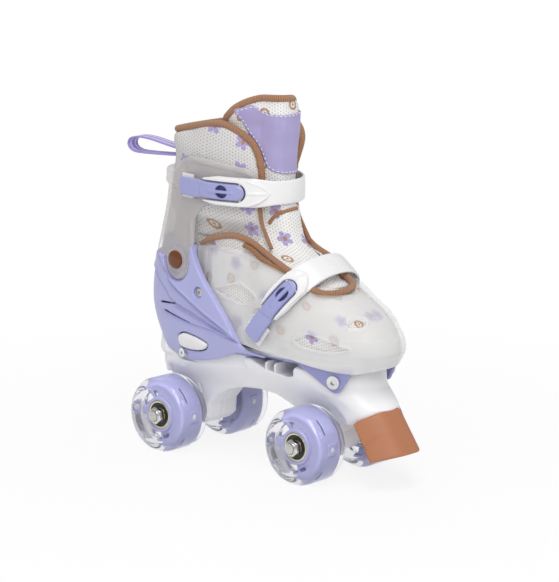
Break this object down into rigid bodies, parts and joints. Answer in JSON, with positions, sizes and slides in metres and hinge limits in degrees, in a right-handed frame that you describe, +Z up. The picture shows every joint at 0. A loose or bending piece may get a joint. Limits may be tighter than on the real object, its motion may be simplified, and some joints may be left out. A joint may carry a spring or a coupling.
{
  "type": "quad roller skate",
  "caption": "Child's quad roller skate: hard boot that slides to size, flexing cuff, ratchet straps, lit clear wheels and a toe stop.",
  "frame": {"origin": "on the floor, midway between the four wheels", "axes": "+X to the toe, +Y to the wearer's left, +Z up"},
  "size_m": [0.2887, 0.1042, 0.281],
  "materials": {
    "chassis_white": "satin moulded nylon",
    "strap_white": "smooth moulded",
    "lavender": "smooth moulded",
    "lever_lavender": "smooth moulded",
    "core_lavender": "smooth moulded",
    "frost": "frosted, translucent",
    "tyre_clear": "clear cast polyurethane",
    "stop_rubber": "matte moulded rubber",
    "cap_brown": "glossy",
    "steel": "bright",
    "chrome": "plated",
    "fabric": "padded mesh",
    "footbed": "foam footbed with a fabric face",
    "ribbon": "woven ribbon",
    "light_box": "clear"
  },
  "bodies": {
    "chassis": {"chassis": "chassis_white", "front_axle": "steel", "rear_axle": "steel", "axle_nuts": "chrome", "axle_washers": "steel", "bearing_spacers": "steel", "toe_stop": "stop_rubber", "toe_stop_bolt": "steel", "base_plate": "lavender", "heel_shell": "lavender", "frame_bolts_front": "steel", "frame_bolts_rear": "steel", "shell_screws": "steel", "cuff_rivets": "steel", "cuff_rivet_caps": "cap_brown", "heel_liner": "fabric", "insole": "footbed", "button_spring": "steel"},
    "toe": {"toe_shell": "frost", "toe_slider": "frost", "size_rack": "strap_white", "vamp": "fabric", "instep_catch": "strap_white", "instep_strap_tail": "strap_white", "instep_strap_rivet": "steel"},
    "cuff": {"cuff": "frost", "collar": "fabric", "tongue": "fabric", "pull_loop": "ribbon", "cuff_catch": "strap_white", "cuff_strap_tail": "strap_white", "cuff_strap_rivet": "steel"},
    "cuff_strap": {"cuff_strap": "strap_white", "cuff_lever_pin": "steel"},
    "cuff_lever": {"cuff_lever": "lever_lavender"},
    "instep_strap": {"instep_strap": "strap_white", "instep_lever_pin": "steel"},
    "instep_lever": {"instep_lever": "lever_lavender"},
    "size_button": {"size_button": "strap_white"},
    "wheel_front_left": {"tyre_front_left": "tyre_clear", "core_front_left": "core_lavender", "bearings_front_left": "chrome", "leds_front_left": "light_box"},
    "wheel_front_right": {"tyre_front_right": "tyre_clear", "core_front_right": "core_lavender", "bearings_front_right": "chrome", "leds_front_right": "light_box"},
    "wheel_rear_left": {"tyre_rear_left": "tyre_clear", "core_rear_left": "core_lavender", "bearings_rear_left": "chrome", "leds_rear_left": "light_box"},
    "wheel_rear_right": {"tyre_rear_right": "tyre_clear", "core_rear_right": "core_lavender", "bearings_rear_right": "chrome", "leds_rear_right": "light_box"}
  },
  "joints": [
    {"name": "spin_front_left", "type": "hinge", "parent": "chassis", "child": "wheel_front_left", "pos_m": [0.07, 0.0346, 0.029], "axis": [0, 1, 0], "continuous": true},
    {"name": "spin_front_right", "type": "hinge", "parent": "chassis", "child": "wheel_front_right", "pos_m": [0.07, -0.0346, 0.029], "axis": [0, 1, 0], "continuous": true},
    {"name": "spin_rear_left", "type": "hinge", "parent": "chassis", "child": "wheel_rear_left", "pos_m": [-0.07, 0.0346, 0.029], "axis": [0, 1, 0], "continuous": true},
    {"name": "spin_rear_right", "type": "hinge", "parent": "chassis", "child": "wheel_rear_right", "pos_m": [-0.07, -0.0346, 0.029], "axis": [0, 1, 0], "continuous": true},
    {"name": "cuff_flex", "type": "hinge", "parent": "chassis", "child": "cuff", "pos_m": [-0.061, 0, 0.15], "axis": [0, 1, 0], "range_deg": [0, 10]},
    {"name": "toe_slide", "type": "slide", "parent": "chassis", "child": "toe", "axis": [1, 0, 0], "range_m": [0, 0.024]},
    {"name": "button_press", "type": "slide", "parent": "chassis", "child": "size_button", "axis": [0, 1, 0], "range_m": [0, 0.004], "stiffness_N_per_m": 400, "springref_m": -0.002},
    {"name": "cuff_strap_swing", "type": "hinge", "parent": "cuff", "child": "cuff_strap", "pos_m": [-0.01971, 0.03725, 0.209], "axis": [0, 0, 1], "range_deg": [0, 60]},
    {"name": "cuff_lever_flip", "type": "hinge", "parent": "cuff_strap", "child": "cuff_lever", "pos_m": [0.00289, -0.03273, 0.209], "axis": [0, 0, 1], "range_deg": [0, 70]},
    {"name": "instep_strap_swing", "type": "hinge", "parent": "toe", "child": "instep_strap", "pos_m": [0.04158, 0.04329, 0.12633], "axis": [-0.8039, 0, 0.5948], "range_deg": [0, 60]},
    {"name": "instep_lever_flip", "type": "hinge", "parent": "instep_strap", "child": "instep_lever", "pos_m": [0.05645, -0.03481, 0.14642], "axis": [-0.8039, 0, 0.5948], "range_deg": [0, 70]}
  ]
}
